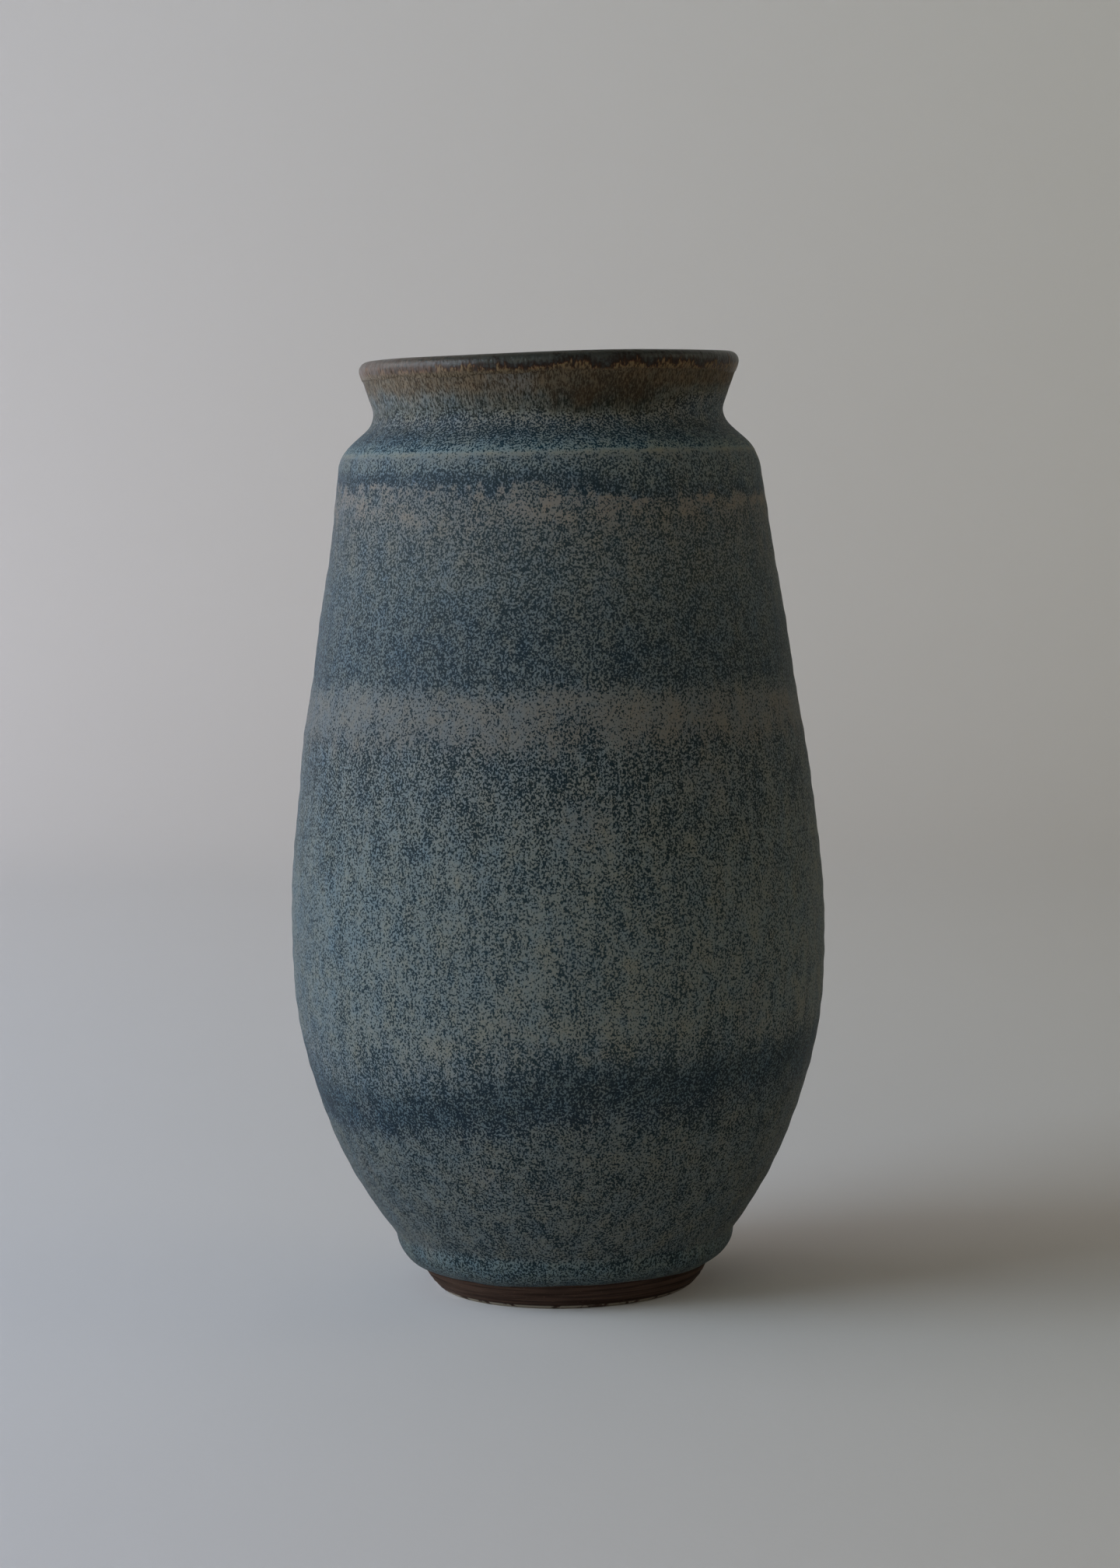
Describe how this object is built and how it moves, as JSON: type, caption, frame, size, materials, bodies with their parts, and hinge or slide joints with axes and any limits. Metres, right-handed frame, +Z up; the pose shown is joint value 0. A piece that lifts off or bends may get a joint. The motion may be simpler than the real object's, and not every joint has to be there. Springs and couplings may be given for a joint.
{
  "type": "stoneware vase",
  "caption": "Tall shouldered stoneware vase with flared neck, bare trimmed foot, mottled blue glaze, iron-brown rim glaze and hollow lined inside for stems or water.",
  "frame": {"origin": "centre of the resting plane under the foot ring", "axes": "+Z up along the turning axis; -Y is the side in the picture, +X is to its right"},
  "size_m": [0.155, 0.155, 0.27],
  "materials": {
    "bare_clay": "bare dark-brown stoneware, trimmed, matte",
    "covered_clay": "fired stoneware under glaze",
    "blue_glaze": "satin matte blue-grey glaze with navy speckle and darker bands",
    "iron_glaze": "glossier iron-brown glaze breaking over the lip",
    "liner_glaze": "satin dark grey-green liner glaze"
  },
  "bodies": {
    "root": {"foot_ring": "bare_clay", "body_wall": "covered_clay", "neck_collar": "covered_clay", "outer_glaze": "blue_glaze", "rim_glaze": "iron_glaze", "liner_glaze": "liner_glaze"}
  },
  "joints": []
}
